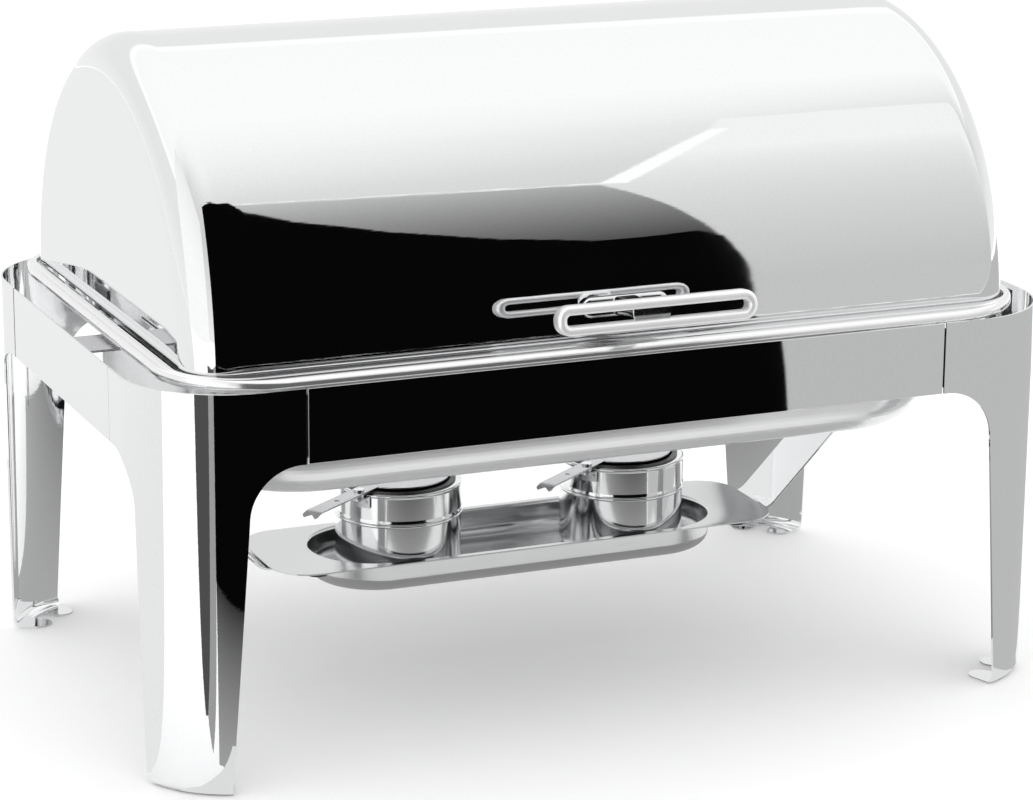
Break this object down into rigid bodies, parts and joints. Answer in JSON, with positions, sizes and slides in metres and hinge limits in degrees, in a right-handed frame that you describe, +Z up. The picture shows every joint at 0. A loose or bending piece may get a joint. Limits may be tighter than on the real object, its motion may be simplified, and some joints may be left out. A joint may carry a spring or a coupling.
{
  "type": "roll-top chafing dish",
  "caption": "Roll-top chafing dish in polished steel: half-cylinder lid on end pivots, lift-out food pan over a water pan, and fuel burners with swing snuffers on a hanging tray.",
  "frame": {"origin": "on the table, under the middle of the whole object's box, which reaches from the handle in front to the rear rail", "axes": "+X along the lid's pivot axis to the guest's right, +Y away from the guest, +Z up"},
  "size_m": [0.64, 0.444, 0.4479],
  "materials": {
    "mirror_steel": "mirror-polished stainless steel",
    "satin_steel": "satin stainless steel",
    "fastener_steel": "plain machined stainless steel",
    "silicone": "matt black silicone"
  },
  "bodies": {
    "stand": {"leg_front_left": "mirror_steel", "leg_front_right": "mirror_steel", "leg_rear_left": "mirror_steel", "leg_rear_right": "mirror_steel", "front_rail": "mirror_steel", "rear_rail": "mirror_steel", "left_rail": "mirror_steel", "right_rail": "mirror_steel", "seam_plates": "satin_steel", "seam_nuts": "fastener_steel", "top_ring": "mirror_steel", "pan_deck": "satin_steel", "water_pan": "satin_steel", "support_bracket_left": "satin_steel", "support_bracket_right": "satin_steel", "hanger_left": "mirror_steel", "hanger_right": "mirror_steel", "pivot_bracket_left": "satin_steel", "pivot_bracket_right": "satin_steel", "pivot_pin_left": "fastener_steel", "pivot_pin_right": "fastener_steel", "pivot_washers": "fastener_steel", "lid_stops": "silicone"},
    "lid": {"lid_shell": "mirror_steel", "lid_pivot_plate_left": "satin_steel", "lid_pivot_plate_right": "satin_steel", "handle_loop": "mirror_steel", "handle_stem": "mirror_steel", "handle_base": "mirror_steel", "handle_screws": "fastener_steel"},
    "food_pan": {"food_pan": "satin_steel"},
    "fuel_tray": {"fuel_tray": "satin_steel", "tray_buttons": "silicone"},
    "burner_left": {"burner_left_can": "mirror_steel", "burner_left_collar": "mirror_steel", "burner_left_cup": "satin_steel", "burner_left_bracket": "satin_steel", "burner_left_rivet": "fastener_steel"},
    "snuffer_left": {"burner_left_snuffer": "mirror_steel"},
    "burner_right": {"burner_right_can": "mirror_steel", "burner_right_collar": "mirror_steel", "burner_right_cup": "satin_steel", "burner_right_bracket": "satin_steel", "burner_right_rivet": "fastener_steel"},
    "snuffer_right": {"burner_right_snuffer": "mirror_steel"}
  },
  "joints": [
    {"name": "lid_roll", "type": "hinge", "parent": "stand", "child": "lid", "pos_m": [0, 0.016, 0.265], "axis": [-1, 0, 0], "range_deg": [0, 70]},
    {"name": "food_pan_lift", "type": "slide", "parent": "stand", "child": "food_pan", "axis": [0, 0, 1], "range_m": [0, 0.07]},
    {"name": "fuel_tray_lift", "type": "slide", "parent": "stand", "child": "fuel_tray", "axis": [0, 0, 1], "range_m": [0, 0.012]},
    {"name": "burner_left_lift", "type": "slide", "parent": "fuel_tray", "child": "burner_left", "axis": [0, 0, 1], "range_m": [0, 0.022]},
    {"name": "burner_right_lift", "type": "slide", "parent": "fuel_tray", "child": "burner_right", "axis": [0, 0, 1], "range_m": [0, 0.022]},
    {"name": "snuffer_left_swing", "type": "hinge", "parent": "burner_left", "child": "snuffer_left", "pos_m": [-0.12339, -0.01315, 0.131], "axis": [0, 0, 1], "range_deg": [0, 100]},
    {"name": "snuffer_right_swing", "type": "hinge", "parent": "burner_right", "child": "snuffer_right", "pos_m": [0.04461, -0.01315, 0.131], "axis": [0, 0, 1], "range_deg": [0, 100]}
  ]
}
